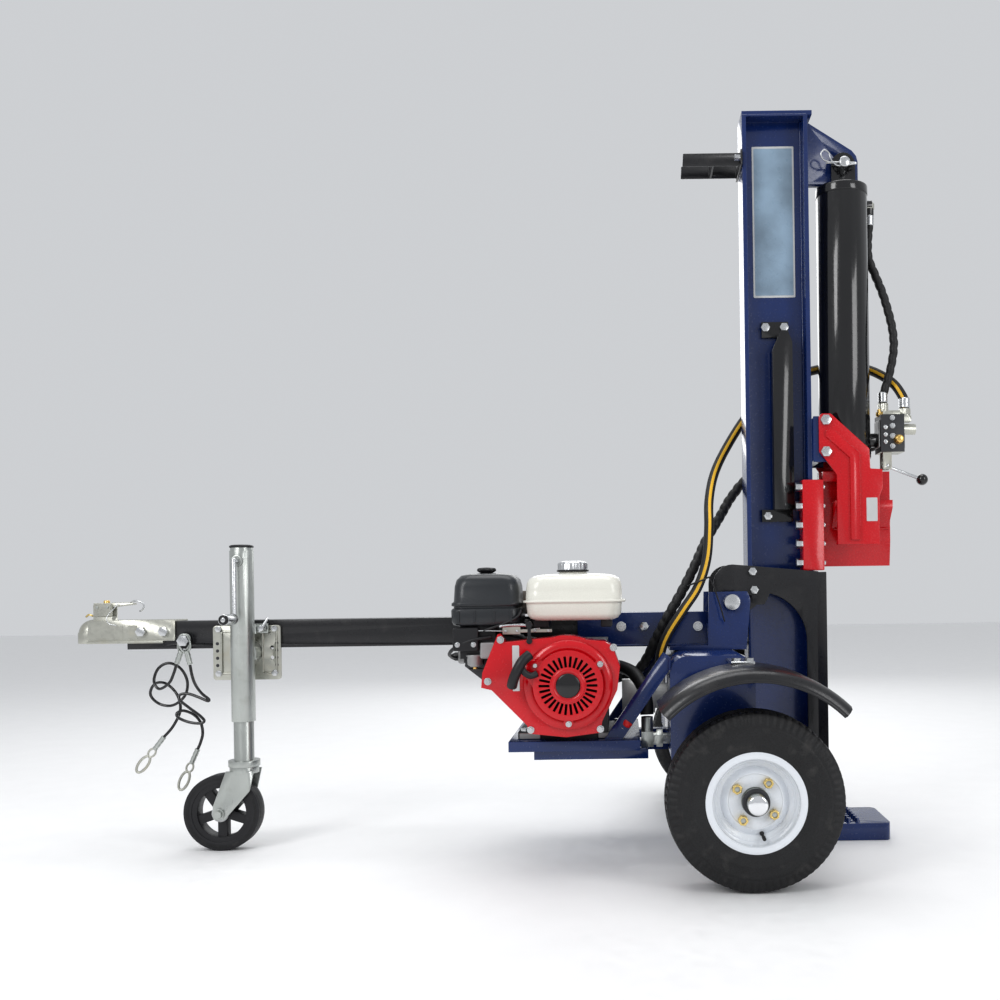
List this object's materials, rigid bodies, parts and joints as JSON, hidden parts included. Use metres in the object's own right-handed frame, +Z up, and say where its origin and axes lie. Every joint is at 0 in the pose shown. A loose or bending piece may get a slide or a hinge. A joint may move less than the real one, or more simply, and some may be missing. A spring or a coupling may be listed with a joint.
{
  "type": "log splitter",
  "caption": "Towable engine-driven hydraulic log splitter with a tilting I-beam, a ram-driven wedge, a drawbar with ball coupler and a caster jack.",
  "frame": {"origin": "middle of the footprint, on the ground", "axes": "+X towards the splitting beam and away from the coupler, +Y across the machine away from the side with the engine starter, +Z up"},
  "size_m": [2.3778, 1.22, 1.996],
  "materials": {
    "navy_paint": "glossy navy enamel",
    "black_paint": "satin black enamel",
    "wedge_red": "glossy red enamel",
    "engine_red": "glossy red enamel on pressed steel",
    "rim_white": "glossy white enamel",
    "tyre_rubber": "matt black rubber",
    "zinc": "zinc plated steel",
    "bright_steel": "bright plated steel",
    "gold_zinc": "yellow zinc plate",
    "cast_alloy": "as-cast aluminium",
    "white_plastic": "off-white moulded tank",
    "black_plastic": "moulded black plastic",
    "rubber_hose": "black hose cover",
    "caster_black": "moulded wheel",
    "filter_white": "white canister",
    "muffler_steel": "heat-dulled steel"
  },
  "bodies": {
    "chassis": {"tongue": "black_paint", "main_frame": "navy_paint", "reservoir": "navy_paint", "axle": "black_paint", "engine_platform": "navy_paint", "engine_block": "cast_alloy", "blower_housing": "engine_red", "recoil_starter": "engine_red", "fuel_tank": "white_plastic", "air_cleaner": "black_plastic", "carburettor": "cast_alloy", "muffler": "muffler_steel", "pump_mount": "black_paint", "hydraulic_pump": "cast_alloy", "oil_filter": "filter_white", "suction_fitting": "zinc", "pivot_pin": "bright_steel", "fenders": "black_paint", "frame_bolts": "bright_steel", "coupler_body": "zinc", "jack_mount": "zinc", "safety_cable_front": "rubber_hose", "safety_cable_rear": "rubber_hose", "cable_hook_front": "zinc", "cable_hook_rear": "zinc", "pressure_hose": "rubber_hose", "return_hose": "rubber_hose", "suction_hose": "rubber_hose"},
    "fuel_cap": {"fuel_cap": "black_plastic"},
    "throttle_lever": {"throttle_lever": "black_plastic"},
    "coupler_latch": {"coupler_latch": "zinc"},
    "jack": {"jack_tube": "zinc"},
    "jack_ram": {"jack_ram": "zinc"},
    "jack_crank": {"jack_crank": "bright_steel"},
    "jack_pull_pin": {"jack_pull_pin": "bright_steel"},
    "caster": {"caster_fork": "zinc"},
    "caster_wheel": {"jack_wheel": "caster_black"},
    "wheel_near": {"tyre_near": "tyre_rubber", "rim_near": "rim_white", "hub_near": "zinc", "lug_nuts_near": "gold_zinc"},
    "wheel_far": {"tyre_far": "tyre_rubber", "rim_far": "rim_white", "hub_far": "zinc", "lug_nuts_far": "gold_zinc"},
    "splitting_beam": {"beam": "navy_paint", "foot_plate": "navy_paint", "log_cradles": "black_paint", "transport_saddle": "black_paint", "beam_handle": "black_paint", "strippers": "wedge_red", "beam_bolts": "bright_steel", "cylinder_barrel": "black_paint", "control_valve": "black_paint", "work_hose": "rubber_hose"},
    "valve_lever": {"valve_lever": "bright_steel"},
    "wedge": {"wedge": "wedge_red", "wedge_slide": "wedge_red", "slide_bolts": "bright_steel", "piston_rod": "bright_steel"}
  },
  "joints": [
    {"name": "beam_tilt", "type": "hinge", "parent": "chassis", "child": "splitting_beam", "pos_m": [0.62609, 0, 0.648], "axis": [0, -1, 0], "range_deg": [0, 90], "deforming": ["pressure_hose", "return_hose"]},
    {"name": "wedge_stroke", "type": "slide", "parent": "splitting_beam", "child": "wedge", "axis": [0, 0, -1], "range_m": [0, 0.61]},
    {"name": "valve_handle", "type": "hinge", "parent": "splitting_beam", "child": "valve_lever", "pos_m": [1.07209, 0, 1.02], "axis": [0, 1, 0], "range_deg": [-15, 15], "stiffness_Nm_per_rad": 4},
    {"name": "wheel_near_spin", "type": "hinge", "parent": "chassis", "child": "wheel_near", "pos_m": [0.62609, -0.52, 0.205], "axis": [0, 1, 0], "continuous": true},
    {"name": "wheel_far_spin", "type": "hinge", "parent": "chassis", "child": "wheel_far", "pos_m": [0.62609, 0.52, 0.205], "axis": [0, 1, 0], "continuous": true},
    {"name": "coupler_lever", "type": "hinge", "parent": "chassis", "child": "coupler_latch", "pos_m": [-1.12591, 0, 0.652], "axis": [0, -1, 0], "range_deg": [0, 70]},
    {"name": "jack_swivel", "type": "hinge", "parent": "chassis", "child": "jack", "pos_m": [-0.69791, -0.06, 0.527], "axis": [0, -1, 0], "range_deg": [0, 90]},
    {"name": "jack_crank_turn", "type": "hinge", "parent": "jack", "child": "jack_crank", "pos_m": [-0.69791, -0.13, 0.777], "axis": [0, 1, 0], "range_deg": [-7200, 8640]},
    {"name": "jack_extend", "type": "slide", "parent": "jack", "child": "jack_ram", "axis": [0, 0, -1], "range_m": [-0.1, 0.12]},
    {"name": "jack_lock", "type": "slide", "parent": "jack", "child": "jack_pull_pin", "axis": [0, -1, 0], "range_m": [0, 0.012], "stiffness_N_per_m": 400},
    {"name": "caster_swivel", "type": "hinge", "parent": "jack_ram", "child": "caster", "pos_m": [-0.69791, -0.095, 0.23], "axis": [0, 0, 1], "continuous": true},
    {"name": "caster_spin", "type": "hinge", "parent": "caster", "child": "caster_wheel", "pos_m": [-0.75391, -0.095, 0.1015], "axis": [0, 1, 0], "continuous": true},
    {"name": "fuel_cap_turn", "type": "hinge", "parent": "chassis", "child": "fuel_cap", "pos_m": [0.20509, -0.25, 0.745], "axis": [0, 0, 1], "range_deg": [0, 90]},
    {"name": "throttle", "type": "hinge", "parent": "chassis", "child": "throttle_lever", "pos_m": [0.10609, -0.402, 0.566], "axis": [0, 1, 0], "range_deg": [-20, 25]}
  ],
  "couplings": [
    {"joint": "jack_extend", "follows": "jack_crank_turn", "m_per_rad": 0.00079}
  ]
}
